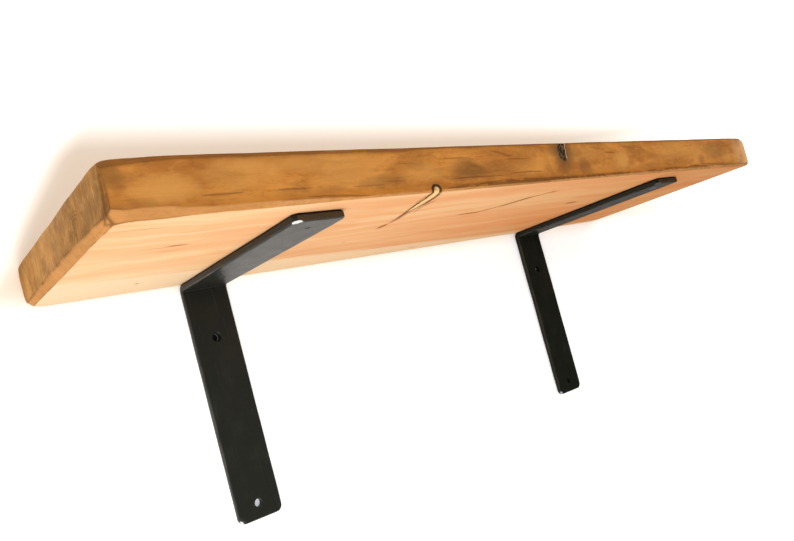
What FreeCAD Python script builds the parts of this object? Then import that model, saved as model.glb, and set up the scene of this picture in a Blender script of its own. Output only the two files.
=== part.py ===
import FreeCAD, Part

import math
import os

import Sketcher

# Wall shelf: a solid softwood plank on two brackets bent from flat steel bar.
# Each bracket's short arm lies under the plank and holds it with two wood screws from beneath.
# Its leg runs down the wall and has two plain holes for wall fixings.
#
# Row frame: X along the shelf, Y towards the wall, Z up. The origin is the centre of the four
# wall holes, on the wall plane. Lengths are in millimetres.

SHEET = "Dimensions"

DRIVING = {
    "plank_length": 720,
    "plank_depth": 220,
    "plank_thickness": 33,
    "plank_worn_round": 3,
    "plank_back_round": 1,
    "bar_width": 40,
    "bar_thickness": 6,
    "bar_edge_round": 0.6,
    "bend_inner_radius": 2,
    "arm_length": 200,
    "leg_length": 205,
    "arm_corner_round": 4,
    "leg_corner_round": 5.5,
    "left_overhang": 115,
    "bracket_spacing": 430,
    "wall_hole_diameter": 7,
    "wall_hole_upper_mouth": 8.8,
    "wall_hole_lower_mouth": 7.6,
    "wall_hole_upper_drop": 49,
    "wall_hole_spacing": 143,
    "arm_hole_diameter": 4.5,
    "arm_hole_front": 182,
    "arm_hole_rear": 45,
    "screw_length": 30,
    "screw_head_diameter": 8,
    "screw_core_diameter": 2.8,
    "screw_thread_diameter": 4,
    "screw_thread_pitch": 2,
    "screw_thread_base": 1.4,
    "screw_thread_start": 9,
    "screw_thread_turns": 8,
    "screw_point_length": 4,
    "screw_recess_span": 4.4,
    "screw_recess_slot": 1,
    "screw_recess_depth": 1.8,
    "pilot_clearance": 0.1,
    "pilot_extra_depth": 1,
}

DERIVED = {
    "bend_outer_radius": "=bend_inner_radius + bar_thickness",
    "left_bracket_x": "=-bracket_spacing / 2",
    "right_bracket_x": "=bracket_spacing / 2",
    "plank_left_x": "=left_bracket_x - bar_width / 2 - left_overhang",
    "plank_underside_z": "=wall_hole_upper_drop + wall_hole_spacing / 2",
    "wall_hole_lower_drop": "=wall_hole_upper_drop + wall_hole_spacing",
    "left_pilot_x": "=left_bracket_x - plank_left_x",
    "right_pilot_x": "=right_bracket_x - plank_left_x",
    "pilot_diameter": "=screw_thread_diameter + pilot_clearance",
    "pilot_depth": "=screw_length - bar_thickness + pilot_extra_depth",
    "screw_seat_z": "=plank_underside_z - bar_thickness",
    "screw_cone_depth": "=(screw_head_diameter - screw_core_diameter) / 2",
    "screw_thread_run": "=screw_thread_pitch * (screw_thread_turns - 1)",
}

SIDES = ("left", "right")
ROWS = ("front", "rear")
COUNTERSINK_ANGLE = 90  # degrees: the screw heads' seats and the deburred mouths of the wall holes
DRILL_ANGLE = 118  # degrees, the point of a twist drill
EPS = 1e-4
FAULTS = ("Invalid", "Error")
PARTS = "parts"
CROSS_ANGLE = 90  # degrees, between the two slots of a screw's recess

# Names for the numbers that the sketcher gives to points and axes.
START, END, CENTRE = 1, 2, 3
ORIGIN = (-1, 1)
Y_AXIS, Z_AXIS = -1, -2


# The sheet and the links to it

def make_sheet(doc):
    """The sheet of driving and derived dimensions, one alias a row."""
    sheet = doc.addObject("Spreadsheet::Sheet", SHEET)
    for row, (alias, content) in enumerate({**DRIVING, **DERIVED}.items(), start=1):
        sheet.set(f"A{row}", alias)
        sheet.setAlias(f"B{row}", alias)
        sheet.set(f"B{row}", str(content))
    doc.recompute()


def bind(obj, prop, expression):
    """Tie a property to an expression, in which each @word is a cell of the sheet."""
    obj.setExpression(prop, expression.replace("@", SHEET + "."))


# Bodies and sketches

def new_body(doc, label, x="0", y="0", z="0"):
    """An empty body under its node's name, at a position bound to expressions."""
    body = doc.addObject("PartDesign::Body", label)
    body.Label = label
    for axis, expression in (("x", x), ("y", y), ("z", z)):
        bind(body, f".Placement.Base.{axis}", expression)
    return body


def new_sketch(body, name, plane, offset="0"):
    """A sketch on one of the body's origin planes, moved along the plane's normal."""
    sketch = body.newObject("Sketcher::SketchObject", name)
    support = next(f for f in body.Origin.OriginFeatures if f.Role == plane)
    sketch.AttachmentSupport = [(support, "")]
    sketch.MapMode = "FlatFace"
    bind(sketch, ".AttachmentOffset.Base.z", offset)
    return sketch


def add_outline(sketch, corners):
    """A closed outline of lines through the corners, level or upright where two corners say so."""
    first = sketch.GeometryCount
    count = len(corners)
    for i, start in enumerate(corners):
        end = corners[(i + 1) % count]
        line = Part.LineSegment(FreeCAD.Vector(*start, 0), FreeCAD.Vector(*end, 0))
        sketch.addGeometry(line, False)
        if start[1] == end[1]:
            sketch.addConstraint(Sketcher.Constraint("Horizontal", first + i))
        elif start[0] == end[0]:
            sketch.addConstraint(Sketcher.Constraint("Vertical", first + i))
    for i in range(count):
        following = first + (i + 1) % count
        sketch.addConstraint(Sketcher.Constraint("Coincident", first + i, END, following, START))


def dimension(sketch, name, expression, kind, *geometry):
    """A named constraint, bound to an expression. It starts from the size that is drawn."""
    if kind == "Radius":
        drawn = sketch.Geometry[geometry[0]].Radius
    else:
        across = sketch.getPoint(*geometry[2:]) - sketch.getPoint(*geometry[:2])
        drawn = across.x if kind == "DistanceX" else across.y
    index = sketch.addConstraint(Sketcher.Constraint(kind, *geometry, drawn))
    sketch.renameConstraint(index, name)
    bind(sketch, f"Constraints.{name}", expression)


def add_circle(sketch, name, x, y, diameter):
    """A circle whose centre and diameter are bound to expressions."""
    index = sketch.addGeometry(Part.Circle(FreeCAD.Vector(1, 1, 0), FreeCAD.Vector(0, 0, 1), 1), False)
    dimension(sketch, f"{name}_x", x, "DistanceX", *ORIGIN, index, CENTRE)
    dimension(sketch, f"{name}_y", y, "DistanceY", *ORIGIN, index, CENTRE)
    dimension(sketch, f"{name}_radius", f"({diameter}) / 2", "Radius", index)


# Features

def add_pad(body, name, sketch, length, side="One side"):
    """The sketch pushed out along its normal, on one side of it or centred on it."""
    pad = body.newObject("PartDesign::Pad", name)
    pad.Profile = sketch
    pad.SideType = side
    bind(pad, "Length", length)
    body.Document.recompute()
    return pad


def add_fillet(body, name, base, radius, chosen):
    """The base with the edges that pass the test rounded to one radius."""
    names = [f"Edge{i}" for i, edge in enumerate(base.Shape.Edges, start=1) if chosen(edge)]
    fillet = body.newObject("PartDesign::Fillet", name)
    fillet.Base = (base, names)
    bind(fillet, "Radius", radius)
    body.Document.recompute()
    return fillet


def add_hole(body, name, sketch, diameter, depth=None, mouth=None, upwards=False):
    """Drilled holes on the sketch's circles: blind with a depth, coned with a mouth diameter."""
    hole = body.newObject("PartDesign::Hole", name)
    hole.Profile = sketch
    body.Document.recompute()
    hole.Reversed = upwards
    bind(hole, "Diameter", diameter)
    if depth:
        hole.DepthType = "Dimension"
        hole.DrillPoint = "Angled"
        hole.DrillPointAngle = DRILL_ANGLE
        bind(hole, "Depth", depth)
    else:
        hole.DepthType = "ThroughAll"
    if mouth:
        hole.HoleCutType = "Countersink"
        hole.HoleCutCountersinkAngle = COUNTERSINK_ANGLE
        bind(hole, "HoleCutDiameter", mouth)
    body.Document.recompute()
    return hole


def lies_at(edge, axis, position):
    """Whether the whole edge is at one position on an axis, X, Y or Z."""
    return all(abs(getattr(vertex, axis) - position) < EPS for vertex in edge.Vertexes)


def runs_along(edge, axis):
    """Whether the edge's ends are at different positions on an axis."""
    ends = [getattr(vertex, axis) for vertex in edge.Vertexes]
    return max(ends) - min(ends) > EPS


# The sub-parts

def make_plank(doc, size):
    """The plank, from its back left underside corner. The back edges stay sharper than the worn ones."""
    body = new_body(doc, "shelf_board", x="@plank_left_x", z="@plank_underside_z")

    outline = new_sketch(body, "plank_outline", "XY_Plane")
    length, depth = size("plank_length"), size("plank_depth")
    add_outline(outline, [(0, 0), (0, -depth), (length, -depth), (length, 0)])
    outline.addConstraint(Sketcher.Constraint("Coincident", 0, START, *ORIGIN))
    dimension(outline, "depth", "@plank_depth", "DistanceY", 0, END, 0, START)
    dimension(outline, "length", "@plank_length", "DistanceX", 1, START, 1, END)
    plank = add_pad(body, "sawn_plank", outline, "@plank_thickness")

    worn = add_fillet(body, "worn_edges", plank, "@plank_worn_round",
                      lambda edge: not lies_at(edge, "Y", 0))
    add_fillet(body, "back_edges", worn, "@plank_back_round",
               lambda edge: lies_at(edge, "Y", 0))

    pilots = new_sketch(body, "pilot_centres", "XY_Plane")
    for side in SIDES:
        for row in ROWS:
            add_circle(pilots, f"{side}_{row}", f"@{side}_pilot_x", f"-@arm_hole_{row}", "@pilot_diameter")
    add_hole(body, "pilot_holes", pilots, "@pilot_diameter", depth="@pilot_depth", upwards=True)
    return body


def draw_bent_bar(sketch, size):
    """The bar's edge-on outline: arm along -Y under the plank, one tight bend, leg down the wall."""
    arm, leg = size("arm_length"), size("leg_length")
    bar, outer = size("bar_thickness"), size("bend_outer_radius")
    inner = size("bend_inner_radius")

    def line(y_start, z_start, y_end, z_end):
        return Part.LineSegment(FreeCAD.Vector(y_start, z_start, 0), FreeCAD.Vector(y_end, z_end, 0))

    def bend(radius):
        circle = Part.Circle(FreeCAD.Vector(-outer, -outer, 0), FreeCAD.Vector(0, 0, 1), radius)
        return Part.ArcOfCircle(circle, 0, math.pi / 2)

    arm_top, outer_bend, leg_back, leg_end, leg_front, inner_bend, arm_under, arm_end = range(8)
    sketch.addGeometry([
        line(-arm, 0, -outer, 0),
        bend(outer),
        line(0, -outer, 0, -leg),
        line(0, -leg, -bar, -leg),
        line(-bar, -leg, -bar, -outer),
        bend(inner),
        line(-outer, -bar, -arm, -bar),
        line(-arm, -bar, -arm, 0),
    ], False)
    sketch.addConstraint([
        Sketcher.Constraint("Tangent", arm_top, END, outer_bend, END),
        Sketcher.Constraint("Tangent", outer_bend, START, leg_back, START),
        Sketcher.Constraint("Coincident", leg_back, END, leg_end, START),
        Sketcher.Constraint("Coincident", leg_end, END, leg_front, START),
        Sketcher.Constraint("Tangent", leg_front, END, inner_bend, START),
        Sketcher.Constraint("Tangent", inner_bend, END, arm_under, START),
        Sketcher.Constraint("Coincident", arm_under, END, arm_end, START),
        Sketcher.Constraint("Coincident", arm_end, END, arm_top, START),
        Sketcher.Constraint("Coincident", outer_bend, CENTRE, inner_bend, CENTRE),
        Sketcher.Constraint("Horizontal", arm_top),
        Sketcher.Constraint("Vertical", leg_back),
        Sketcher.Constraint("Horizontal", leg_end),
        Sketcher.Constraint("Vertical", arm_end),
        Sketcher.Constraint("PointOnObject", arm_top, START, Y_AXIS),
        Sketcher.Constraint("PointOnObject", leg_back, START, Z_AXIS),
    ])
    dimension(sketch, "arm", "@arm_length", "DistanceX", arm_top, START, *ORIGIN)
    dimension(sketch, "leg", "@leg_length", "DistanceY", leg_back, END, *ORIGIN)
    dimension(sketch, "outer_radius", "@bend_outer_radius", "Radius", outer_bend)
    dimension(sketch, "inner_radius", "@bend_inner_radius", "Radius", inner_bend)


def make_bracket(doc, size, side):
    """One bracket, from the middle of its outer bend: X across the bar, the wall at Y = 0."""
    body = new_body(doc, f"{side}_bracket", x=f"@{side}_bracket_x", z="@plank_underside_z")
    profile = new_sketch(body, f"{side}_bar_profile", "YZ_Plane")
    draw_bent_bar(profile, size)
    bar = add_pad(body, f"{side}_bent_bar", profile, "@bar_width", side="Symmetric")

    arm, leg = size("arm_length"), size("leg_length")
    thickness, width = size("bar_thickness"), size("bar_width")
    arm_corners = add_fillet(body, f"{side}_arm_corners", bar, "@arm_corner_round",
                             lambda edge: lies_at(edge, "Y", -arm) and runs_along(edge, "Z"))
    corners = add_fillet(body, f"{side}_leg_corners", arm_corners, "@leg_corner_round",
                         lambda edge: lies_at(edge, "Z", -leg) and runs_along(edge, "Y"))

    # Edges as long as the bar is thick or wide are seams between smooth faces. The rest are sharp.
    add_fillet(body, f"{side}_eased_edges", corners, "@bar_edge_round",
               lambda edge: abs(edge.Length - thickness) > EPS and abs(edge.Length - width) > EPS)

    screws = new_sketch(body, f"{side}_screw_centres", "XY_Plane", offset="-@bar_thickness")
    for row in ROWS:
        add_circle(screws, row, "0", f"-@arm_hole_{row}", "@arm_hole_diameter")
    add_hole(body, f"{side}_arm_holes", screws, "@arm_hole_diameter",
             mouth="@screw_head_diameter", upwards=True)

    for level in ("upper", "lower"):
        centre = new_sketch(body, f"{side}_{level}_wall_centre", "XZ_Plane", offset="@bar_thickness")
        add_circle(centre, level, "0", f"-@wall_hole_{level}_drop", "@wall_hole_diameter")
        add_hole(body, f"{side}_{level}_wall_hole", centre, "@wall_hole_diameter",
                 mouth=f"@wall_hole_{level}_mouth")
    return body


def make_screw(doc, size, side, row):
    """One countersunk wood screw, from the middle of its head's flat, point up. Thread as rings."""
    tag = f"{side}_{row}"
    body = new_body(doc, f"{tag}_screw", x=f"@{side}_bracket_x", y=f"-@arm_hole_{row}", z="@screw_seat_z")
    head, core = size("screw_head_diameter") / 2, size("screw_core_diameter") / 2
    length, cone = size("screw_length"), size("screw_cone_depth")
    shank_end = length - size("screw_point_length")

    profile = new_sketch(body, f"{tag}_profile", "XZ_Plane")
    add_outline(profile, [(0, 0), (head, 0), (core, cone), (core, shank_end), (0, length)])
    profile.addConstraint(Sketcher.Constraint("Coincident", 0, START, *ORIGIN))
    dimension(profile, "head", "@screw_head_diameter / 2", "DistanceX", 0, START, 0, END)
    dimension(profile, "core", "@screw_core_diameter / 2", "DistanceX", *ORIGIN, 1, END)
    dimension(profile, "cone", "@screw_cone_depth", "DistanceY", *ORIGIN, 1, END)
    dimension(profile, "point", "@screw_point_length", "DistanceY", 3, START, 3, END)
    dimension(profile, "length", "@screw_length", "DistanceY", *ORIGIN, 3, END)
    turn = body.newObject("PartDesign::Revolution", f"{tag}_turned")
    turn.Profile = profile
    turn.ReferenceAxis = (profile, ["V_Axis"])

    crest, base, start = (size(f"screw_thread_{word}") for word in ("diameter", "base", "start"))
    ridge = new_sketch(body, f"{tag}_ridge", "XZ_Plane")
    add_outline(ridge, [(core, start), (crest / 2, start + base / 2), (core, start + base)])
    dimension(ridge, "core", "@screw_core_diameter / 2", "DistanceX", *ORIGIN, 0, START)
    dimension(ridge, "start", "@screw_thread_start", "DistanceY", *ORIGIN, 0, START)
    dimension(ridge, "crest", "@screw_thread_diameter / 2", "DistanceX", *ORIGIN, 0, END)
    dimension(ridge, "middle", "@screw_thread_base / 2", "DistanceY", 0, START, 0, END)
    dimension(ridge, "base", "@screw_thread_base", "DistanceY", 0, START, 1, END)
    ring = body.newObject("PartDesign::Revolution", f"{tag}_thread_ring")
    ring.Profile = ridge
    ring.ReferenceAxis = (ridge, ["V_Axis"])
    thread = body.newObject("PartDesign::LinearPattern", f"{tag}_thread")
    thread.Originals = [ring]
    thread.Direction = (ridge, ["V_Axis"])
    bind(thread, "Length", "@screw_thread_run")
    bind(thread, "Occurrences", "@screw_thread_turns")
    body.Tip = thread
    doc.recompute()

    slot = new_sketch(body, f"{tag}_slot_outline", "XY_Plane")
    span, gap = size("screw_recess_span") / 2, size("screw_recess_slot") / 2
    add_outline(slot, [(-span, -gap), (span, -gap), (span, gap), (-span, gap)])
    slot.addConstraint(Sketcher.Constraint("Symmetric", 0, START, 1, END, *ORIGIN))
    dimension(slot, "span", "@screw_recess_span", "DistanceX", 0, START, 0, END)
    dimension(slot, "gap", "@screw_recess_slot", "DistanceY", 1, START, 1, END)
    cut = body.newObject("PartDesign::Pocket", f"{tag}_slot")
    cut.Profile = slot
    cut.Reversed = True
    bind(cut, "Length", "@screw_recess_depth")
    cross = body.newObject("PartDesign::PolarPattern", f"{tag}_cross_recess")
    cross.Originals = [cut]
    cross.Axis = (slot, ["N_Axis"])
    cross.Mode = "Extent"
    cross.Angle = CROSS_ANGLE
    cross.Occurrences = 2
    body.Tip = cross
    doc.recompute()
    return body


# Checks and files

def faults_in(doc, bodies):
    """What is wrong with the document, in words."""
    faults = [f"{obj.Name}: {obj.State}" for obj in doc.Objects if set(obj.State) & set(FAULTS)]
    for body in bodies:
        if body.Shape.isNull() or not body.Shape.isValid() or len(body.Shape.Solids) != 1:
            faults.append(f"{body.Label}: not one valid solid")
        for feature in body.Group:
            cuts = feature.isDerivedFrom("PartDesign::Hole") or feature.isDerivedFrom("PartDesign::Pocket")
            if cuts and feature.Shape.Volume >= feature.BaseFeature.Shape.Volume - EPS:
                faults.append(f"{feature.Label}: cuts nothing")
    return faults


def main():
    doc = FreeCAD.newDocument("WallShelf")
    make_sheet(doc)
    size = doc.getObject(SHEET).get
    bodies = [make_plank(doc, size)]
    bodies += [make_bracket(doc, size, side) for side in SIDES]
    bodies += [make_screw(doc, size, side, row) for side in SIDES for row in ROWS]
    doc.recompute()

    faults = faults_in(doc, bodies)
    if faults:
        raise RuntimeError("; ".join(faults))
    os.makedirs(PARTS, exist_ok=True)
    for body in bodies:
        body.Shape.exportStep(f"{PARTS}/{body.Label}.step")
        box = body.Shape.BoundBox
        print(f"{body.Label}: {body.Shape.Volume:.0f} mm3, X {box.XMin:.1f} to {box.XMax:.1f},"
              f" Y {box.YMin:.1f} to {box.YMax:.1f}, Z {box.ZMin:.1f} to {box.ZMax:.1f}")


main()
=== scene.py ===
import math

import bpy
import numpy as np
from mathutils import Matrix, Vector, noise


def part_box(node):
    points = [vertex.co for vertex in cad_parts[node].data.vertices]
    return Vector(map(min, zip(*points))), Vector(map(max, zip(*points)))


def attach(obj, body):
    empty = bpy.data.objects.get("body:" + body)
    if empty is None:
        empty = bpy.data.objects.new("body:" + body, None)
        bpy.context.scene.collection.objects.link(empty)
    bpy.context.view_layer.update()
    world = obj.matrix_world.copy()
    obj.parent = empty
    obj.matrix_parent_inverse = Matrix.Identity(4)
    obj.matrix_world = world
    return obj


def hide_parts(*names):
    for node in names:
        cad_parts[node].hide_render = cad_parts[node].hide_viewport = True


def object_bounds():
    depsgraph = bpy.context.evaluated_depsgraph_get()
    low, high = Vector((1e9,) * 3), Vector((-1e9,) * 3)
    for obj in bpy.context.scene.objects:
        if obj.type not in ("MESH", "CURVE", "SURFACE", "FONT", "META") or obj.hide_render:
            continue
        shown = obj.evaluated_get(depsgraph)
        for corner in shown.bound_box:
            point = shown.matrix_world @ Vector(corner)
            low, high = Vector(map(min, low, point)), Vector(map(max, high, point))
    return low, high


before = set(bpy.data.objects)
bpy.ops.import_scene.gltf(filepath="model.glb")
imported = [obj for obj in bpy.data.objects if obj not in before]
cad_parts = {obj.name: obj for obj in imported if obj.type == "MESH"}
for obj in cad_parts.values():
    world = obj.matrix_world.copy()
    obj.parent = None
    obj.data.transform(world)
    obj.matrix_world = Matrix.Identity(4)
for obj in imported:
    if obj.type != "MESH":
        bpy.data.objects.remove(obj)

# A worn softwood plank on two bent flat-bar brackets, screwed to a wall.
# Meshes are shaped in millimetres, from a corner or end of their own CAD box, and placed in metres.

MM = 0.001
LOW, HIGH = 0, 1
X, Y, Z = 0, 1, 2

cad_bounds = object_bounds()
scene = bpy.context.scene


def add_object(name, data):
    made = bpy.data.objects.new(name, data)
    scene.collection.objects.link(made)
    return made


# ---------------- camera

CAMERA_PLACE = (-0.4642, -0.5589, 0.0263)
CAMERA_HEADING = 39.86      # degrees from +Y towards +X
CAMERA_RISE = 2.86          # degrees above the level
CAMERA_ROLL = -15.0         # degrees
CAMERA_LENS = 31.44         # mm on a 36 mm sensor
CAMERA_SHIFT = (-0.0143, 0.0437)


def make_camera():
    data = bpy.data.cameras.new("camera")
    data.sensor_width = 36
    data.lens = CAMERA_LENS
    data.shift_x, data.shift_y = CAMERA_SHIFT
    data.clip_start = 0.01
    camera = add_object("camera", data)
    heading, rise = math.radians(CAMERA_HEADING), math.radians(CAMERA_RISE)
    look = Vector((math.sin(heading) * math.cos(rise), math.cos(heading) * math.cos(rise), math.sin(rise)))
    turn = look.to_track_quat("-Z", "Y").to_matrix() @ Matrix.Rotation(math.radians(CAMERA_ROLL), 3, "Z")
    camera.matrix_world = Matrix.Translation(CAMERA_PLACE) @ turn.to_4x4()
    scene.camera = camera


# ---------------- node helpers

class Value:
    """A node socket that ordinary arithmetic can be done with."""

    def __init__(self, tree, socket):
        self.tree = tree
        self.socket = socket

    def __add__(self, other):
        return calc("ADD", self, other)

    __radd__ = __add__

    def __sub__(self, other):
        return calc("SUBTRACT", self, other)

    def __rsub__(self, other):
        return calc("SUBTRACT", other, self)

    def __mul__(self, other):
        return calc("MULTIPLY", self, other)

    def __truediv__(self, other):
        return calc("DIVIDE", self, other)

    def __abs__(self):
        return calc("ABSOLUTE", self)


def plug(tree, value, socket):
    """Link a Value to a socket, or set a plain number or colour on it."""
    if isinstance(value, Value):
        tree.links.new(value.socket, socket)
    elif hasattr(value, "__len__") and len(value) == 3 and socket.type == "RGBA":
        socket.default_value = (*value, 1.0)
    else:
        socket.default_value = value


def tree_of(*values):
    return next(v.tree for v in values if isinstance(v, Value))


def add_node(tree, kind, *inputs):
    """A shader node with its first inputs plugged."""
    node = tree.nodes.new("ShaderNode" + kind)
    for value, socket in zip(inputs, node.inputs):
        plug(tree, value, socket)
    return node


def calc(operation, *inputs):
    tree = tree_of(*inputs)
    node = add_node(tree, "Math", *inputs)
    node.operation = operation
    return Value(tree, node.outputs[0])


def distance(a, b):
    """How far a step of a one way and b the other way goes."""
    return calc("SQRT", a * a + b * b)


def vector_calc(operation, *inputs, scalar=False):
    tree = tree_of(*inputs)
    node = add_node(tree, "VectorMath", *inputs)
    node.operation = operation
    return Value(tree, node.outputs["Value" if scalar else "Vector"])


def split(vector):
    node = add_node(vector.tree, "SeparateXYZ", vector)
    return [Value(vector.tree, output) for output in node.outputs]


def join(*parts):
    tree = tree_of(*parts)
    return Value(tree, add_node(tree, "CombineXYZ", *parts).outputs[0])


def grain(at, scale, stretch=(1, 1, 1), detail=3.0, rough=0.5, warp=0.0, offset=0.0):
    """Noise from 0 to 1 about 0.5. Scale is in cells per mm, and stretch thins or lengthens the cells."""
    sized = vector_calc("MULTIPLY_ADD", at, stretch, (offset, offset * 1.7, offset * 0.6))
    node = add_node(at.tree, "TexNoise", sized)
    node.inputs["Scale"].default_value = scale
    node.inputs["Detail"].default_value = detail
    node.inputs["Roughness"].default_value = rough
    node.inputs["Distortion"].default_value = warp
    return Value(at.tree, node.outputs[0])


def step(value, start, end, smooth=True):
    """0 before start and 1 after end, or the other way round if end comes first."""
    limits = (start, end, 0.0, 1.0) if start < end else (end, start, 1.0, 0.0)
    node = add_node(value.tree, "MapRange", value, *limits)
    node.interpolation_type = "SMOOTHSTEP" if smooth else "LINEAR"
    return Value(value.tree, node.outputs[0])


def blend(amount, first, second, mode="MIX"):
    """The first colour, passing to the second as amount goes from 0 to 1."""
    tree = tree_of(amount, first, second)
    node = add_node(tree, "Mix", amount)
    node.data_type = "RGBA"
    node.blend_type = mode
    colours = [s for s in node.inputs if s.type == "RGBA"]
    plug(tree, first, colours[0])
    plug(tree, second, colours[1])
    return Value(tree, next(s for s in node.outputs if s.type == "RGBA"))


def layers(colour, *coats):
    """The colour under coats, each an (amount, colour), in order."""
    for amount, coat in coats:
        colour = blend(amount, colour, coat)
    return colour


def shade(colour, amount):
    """The colour times a number, so that 1 leaves it as it is."""
    grey = add_node(amount.tree, "CombineColor", amount, amount, amount)
    return blend(1.0, colour, Value(amount.tree, grey.outputs[0]), mode="MULTIPLY")


class Material:
    """A material with one Principled shader, and the inputs that its nodes start from."""

    def __init__(self, name):
        self.material = bpy.data.materials.new(name)
        self.material.use_nodes = True
        self.tree = self.material.node_tree
        self.shader = self.tree.nodes["Principled BSDF"]

    def mm_from(self, corner):
        """The surface point in millimetres from a corner given in metres."""
        offset = tuple(-c / MM for c in corner)
        surface = Value(self.tree, add_node(self.tree, "TexCoord").outputs["Object"])
        return vector_calc("MULTIPLY_ADD", surface, (1 / MM,) * 3, offset)

    def mark(self, name, output="Fac"):
        """The number or vector painted on the mesh's points."""
        node = add_node(self.tree, "Attribute")
        node.attribute_name = name
        return Value(self.tree, node.outputs[output])

    def set(self, **inputs):
        for name, value in inputs.items():
            plug(self.tree, value, self.shader.inputs[name.replace("_", " ")])

    def bump(self, height, distance):
        """Height in units of distance, which is in metres."""
        node = add_node(self.tree, "Bump")
        node.inputs["Distance"].default_value = distance
        plug(self.tree, height, node.inputs["Height"])
        self.tree.links.new(node.outputs[0], self.shader.inputs["Normal"])


# ---------------- mesh helpers

def graded(length, fine, coarse, margin):
    """Positions from 0 to length: fine steps within the margin of each end, coarse ones between."""
    places = [0.0]
    while places[-1] < length:
        inward = min(places[-1], length - places[-1])
        mixed = min(max((inward - margin) / margin, 0.0), 1.0)
        places.append(places[-1] + fine + (coarse - fine) * mixed)
    return np.array(places) * (length / places[-1])


def box_shell(steps):
    """Points and outward quads of a closed box whose three sides are divided at the given positions."""
    counts = [len(s) for s in steps]
    inner = np.zeros(counts, bool)
    inner[1:-1, 1:-1, 1:-1] = True
    ids = np.full(counts, -1)
    ids[~inner] = np.arange(np.count_nonzero(~inner))
    points = np.stack([g[~inner] for g in np.meshgrid(*steps, indexing="ij")], axis=1)
    quads = []
    for axis in range(3):
        for side in (LOW, HIGH):
            sheet = np.take(ids, -side, axis=axis)
            ring = [sheet[:-1, :-1], sheet[1:, :-1], sheet[1:, 1:], sheet[:-1, 1:]]
            if (side == HIGH) == (axis == Y):
                ring.reverse()
            quads.append(np.stack([r.ravel() for r in ring], axis=1))
    return points, np.concatenate(quads)


def wander(along, seed, wavelength):
    """A smooth random line from -1 to 1, read at the given positions."""
    knots = np.arange(along.min() - wavelength, along.max() + wavelength, wavelength / 8)
    heights = [noise.noise(Vector((k / wavelength, seed, seed * 0.37))) for k in knots]
    return np.interp(along, knots, heights) * 1.6


def lumps(points, wavelengths, seed):
    """Smooth random heights in space, about -1 to 1."""
    scaled = points / np.array(wavelengths) + seed
    return np.array([noise.noise(Vector(p)) for p in scaled])


def cut(points, size, legs, soft):
    """Plane off an edge or a corner. legs maps (axis, side) to how far along it the cut starts.

    The cut is crisp where soft is small, in mm. The height that each point stood above it is returned.
    """
    scale = np.sqrt(sum(1 / np.square(leg) for leg in legs.values()))
    inward = {face: face_distance(points, size, face) for face in legs}
    above = (1 - sum(inward[face] / leg for face, leg in legs.items())) / scale
    taken = (above + np.sqrt(above ** 2 + soft ** 2)) / 2
    taken = np.where(above > -6 * soft, taken, 0)
    for (axis, side), leg in legs.items():
        points[:, axis] += taken / (leg * scale) * (1 if side == LOW else -1)
    return above


def face_distance(points, size, face):
    axis, side = face
    return points[:, axis] if side == LOW else size[axis] - points[:, axis]


def between(value, start, end):
    """0 before start and 1 after end, smoothly."""
    part = np.clip((value - start) / (end - start), 0, 1)
    return part * part * (3 - 2 * part)


def make_object(name, points, faces, marks, material):
    """A mesh object in metres, smooth all over, with its marks as point attributes."""
    mesh = bpy.data.meshes.new(name)
    mesh.from_pydata(points.tolist(), [], faces.tolist())
    for mark, values in marks.items():
        layer = mesh.attributes.new(mark, "FLOAT", "POINT")
        layer.data.foreach_set("value", np.asarray(values, np.float32))
    mesh.shade_smooth()
    mesh.materials.append(material)
    return add_object(name, mesh)


# ---------------- the plank's shape

PLANK_LOW, PLANK_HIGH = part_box("shelf_board")
PLANK = np.array([(h - l) / MM for l, h in zip(PLANK_LOW, PLANK_HIGH)])
LENGTH, DEPTH, THICKNESS = PLANK

LEFT, RIGHT = (X, LOW), (X, HIGH)
FRONT, BACK = (Y, LOW), (Y, HIGH)
UNDER, TOP = (Z, LOW), (Z, HIGH)

# How far each corner is cut back along the three faces' directions.
WORN_CORNERS = {
    (LEFT, FRONT, TOP): (7, 10, 4.8),
    (LEFT, FRONT, UNDER): (4.5, 11, 3.6),
    (LEFT, BACK, UNDER): (9, 8, 7),
    (LEFT, BACK, TOP): (2.5, 2.5, 2.5),
    (RIGHT, FRONT, TOP): (9, 8, 5),
    (RIGHT, FRONT, UNDER): (5, 5, 4.5),
    (RIGHT, BACK, UNDER): (6, 6, 5),
    (RIGHT, BACK, TOP): (5, 5, 4),
}
# How deep the hollows in each face are.
HOLLOWS = {FRONT: 0.55, LEFT: 0.5, RIGHT: 0.5, TOP: 0.35, UNDER: 0.18, BACK: 0.15}


def profile(along, *stations):
    """Straight runs between (position, value) stations."""
    places, values = zip(*stations)
    return np.interp(along, places, values)


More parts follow.
